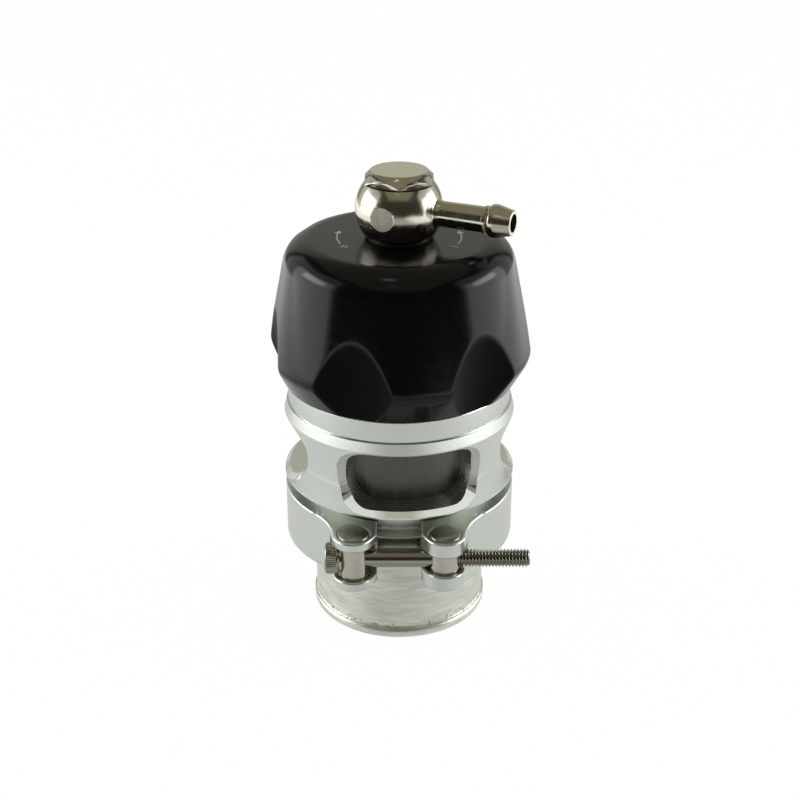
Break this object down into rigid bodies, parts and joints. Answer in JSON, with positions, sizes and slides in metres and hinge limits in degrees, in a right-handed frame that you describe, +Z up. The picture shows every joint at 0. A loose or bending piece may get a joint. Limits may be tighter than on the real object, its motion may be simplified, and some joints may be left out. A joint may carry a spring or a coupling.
{
  "type": "blow off valve",
  "caption": "Spring loaded piston blow off valve with a fluted screw cap, side vents, a swivelling vacuum barb and a hinged clamp that holds a hose spigot.",
  "frame": {"origin": "centre of the inlet bore at the foot of the hose spigot", "axes": "+Z up the valve's axis towards the cap, -Y towards the clamp's ears and bolt"},
  "size_m": [0.0562, 0.0611, 0.1017],
  "materials": {
    "mill_aluminium": "raw mill finish",
    "satin_aluminium": "satin turned",
    "clamp_aluminium": "satin machined",
    "black_anodised": "gloss black anodised",
    "dark_anodised": "hard anodised, brushed",
    "nickel_plate": "bright nickel plate",
    "stainless_steel": "turned stainless steel",
    "spring_steel": "oiled spring wire",
    "seal_rubber": "matte rubber"
  },
  "bodies": {
    "root": {"inlet_stub": "mill_aluminium", "flange_seal": "seal_rubber", "body": "satin_aluminium", "cap_seal": "seal_rubber", "spring": "spring_steel", "clamp_half_left": "clamp_aluminium", "clamp_hinge_pin": "stainless_steel"},
    "piston": {"piston": "dark_anodised", "piston_ring": "seal_rubber", "valve_seal": "seal_rubber"},
    "seat": {"spring_seat": "dark_anodised"},
    "cap": {"cap": "black_anodised", "banjo_bolt": "nickel_plate", "banjo_washer_lower": "seal_rubber", "banjo_washer_upper": "seal_rubber"},
    "banjo": {"banjo_fitting": "nickel_plate"},
    "clamp_right": {"clamp_half_right": "clamp_aluminium"},
    "barrel_left": {"clamp_barrel_plain": "stainless_steel"},
    "barrel_right": {"clamp_barrel_threaded": "stainless_steel"},
    "bolt": {"clamp_bolt": "stainless_steel", "clamp_washer": "stainless_steel"}
  },
  "joints": [
    {"name": "piston_slide", "type": "slide", "parent": "root", "child": "piston", "axis": [0, 0, 1], "range_m": [0, 0.011], "stiffness_N_per_m": 3000, "springref_m": -0.01, "deforming": ["spring"]},
    {"name": "cap_lift", "type": "slide", "parent": "root", "child": "seat", "axis": [0, 0, 1], "range_m": [0, 0.00301], "deforming": ["spring"]},
    {"name": "cap_turn", "type": "hinge", "parent": "seat", "child": "cap", "pos_m": [0, 0, 0.065], "axis": [0, 0, 1], "range_deg": [0, 720]},
    {"name": "banjo_swivel", "type": "hinge", "parent": "cap", "child": "banjo", "pos_m": [0, 0, 0.0935], "axis": [0, 0, 1], "continuous": true},
    {"name": "clamp_open", "type": "hinge", "parent": "root", "child": "clamp_right", "pos_m": [0, 0.0272, 0.0249], "axis": [0, 0, 1], "range_deg": [0, 10]},
    {"name": "barrel_left_pivot", "type": "hinge", "parent": "root", "child": "barrel_left", "pos_m": [-0.0096, -0.0265, 0.0254], "axis": [0, 0, 1], "range_deg": [0, 5.01]},
    {"name": "barrel_right_pivot", "type": "hinge", "parent": "clamp_right", "child": "barrel_right", "pos_m": [0.0096, -0.0265, 0.0254], "axis": [0, 0, 1], "range_deg": [-5.01, 0]},
    {"name": "bolt_turn", "type": "hinge", "parent": "barrel_left", "child": "bolt", "pos_m": [0, -0.0265, 0.0254], "axis": [-1, 0, 0], "continuous": true}
  ],
  "couplings": [
    {"joint": "cap_lift", "follows": "cap_turn", "m_per_rad": 0.00023873},
    {"joint": "barrel_left_pivot", "follows": "clamp_open", "ratio": 0.5},
    {"joint": "barrel_right_pivot", "follows": "clamp_open", "ratio": -0.5}
  ]
}
